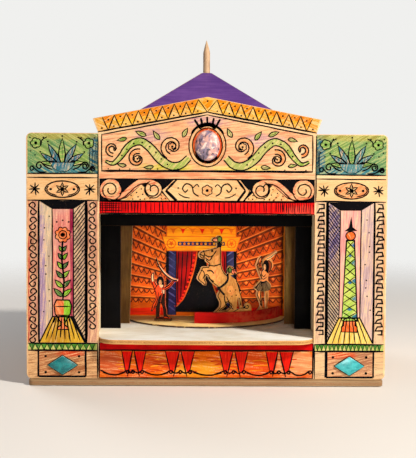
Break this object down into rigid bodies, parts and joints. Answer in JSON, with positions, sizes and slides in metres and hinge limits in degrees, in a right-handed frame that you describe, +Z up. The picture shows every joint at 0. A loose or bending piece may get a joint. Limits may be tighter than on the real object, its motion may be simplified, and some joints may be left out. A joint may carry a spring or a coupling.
{
  "type": "toy puppet theatre",
  "caption": "Table-top plywood toy theatre with a painted front, a pyramid roof, black wings and a revolving stage that a rod through the roof turns.",
  "frame": {"origin": "middle of the footprint, on the surface that the base plate rests on", "axes": "+Z up, -Y out of the painted front towards the viewer, +X to the viewer's right"},
  "size_m": [0.2, 0.174, 0.2007],
  "materials": {
    "raw_ply": "bare plywood, lightly sanded, satin from handling",
    "painted_front": "plywood with ink lines and coloured pencil, sealed with a thin varnish",
    "white_floor": "plywood painted matt white on top, bare edge",
    "black_paint": "plywood painted matt black",
    "gold_brown": "plywood stained dark gold brown",
    "purple_paint": "plywood painted matt purple, bare at the hips",
    "scene_paint": "thin plywood painted with a circus ring in orange, red and blue",
    "sand_card": "stiff card painted sand yellow",
    "ring_red": "bent card strip painted dark red",
    "figure_paint": "thin plywood cut-outs, inked and painted on the front, dark on the back",
    "lilac_stone": "polished oval stone, lilac with white veins",
    "teal_chip": "glossy teal chips with pale veins"
  },
  "bodies": {
    "theatre": {"base_plate": "raw_ply", "front_board": "painted_front", "pediment_stone": "lilac_stone", "lozenge_left": "teal_chip", "lozenge_right": "teal_chip", "side_wall_left": "raw_ply", "side_wall_right": "raw_ply", "floor_cleat_left": "raw_ply", "floor_cleat_right": "raw_ply", "eaves_cleat_left": "raw_ply", "eaves_cleat_right": "raw_ply", "front_batten_left": "raw_ply", "front_batten_right": "raw_ply", "rear_rail_low": "raw_ply", "rear_rail_high": "raw_ply", "stage_floor": "white_floor", "eaves_board": "raw_ply", "roof_panel_front": "purple_paint", "roof_panel_right": "purple_paint", "roof_panel_back": "purple_paint", "roof_panel_left": "purple_paint", "apex_block": "raw_ply", "wing_left": "black_paint", "wing_right": "black_paint", "border": "black_paint", "inner_wing_left": "gold_brown", "inner_wing_right": "gold_brown", "foot_bearing": "raw_ply"},
    "revolving_stage": {"spindle": "raw_ply", "stage_disc": "sand_card", "backdrop": "scene_paint", "hub_block": "raw_ply", "brace_left": "raw_ply", "brace_right": "raw_ply", "ring_curb": "ring_red", "horse": "figure_paint", "dancer": "figure_paint", "dancer_foot": "raw_ply", "ringmaster": "figure_paint", "ringmaster_foot": "raw_ply"}
  },
  "joints": [
    {"name": "stage_turn", "type": "hinge", "parent": "theatre", "child": "revolving_stage", "pos_m": [0, 0.009, 0], "axis": [0, 0, 1], "continuous": true}
  ]
}
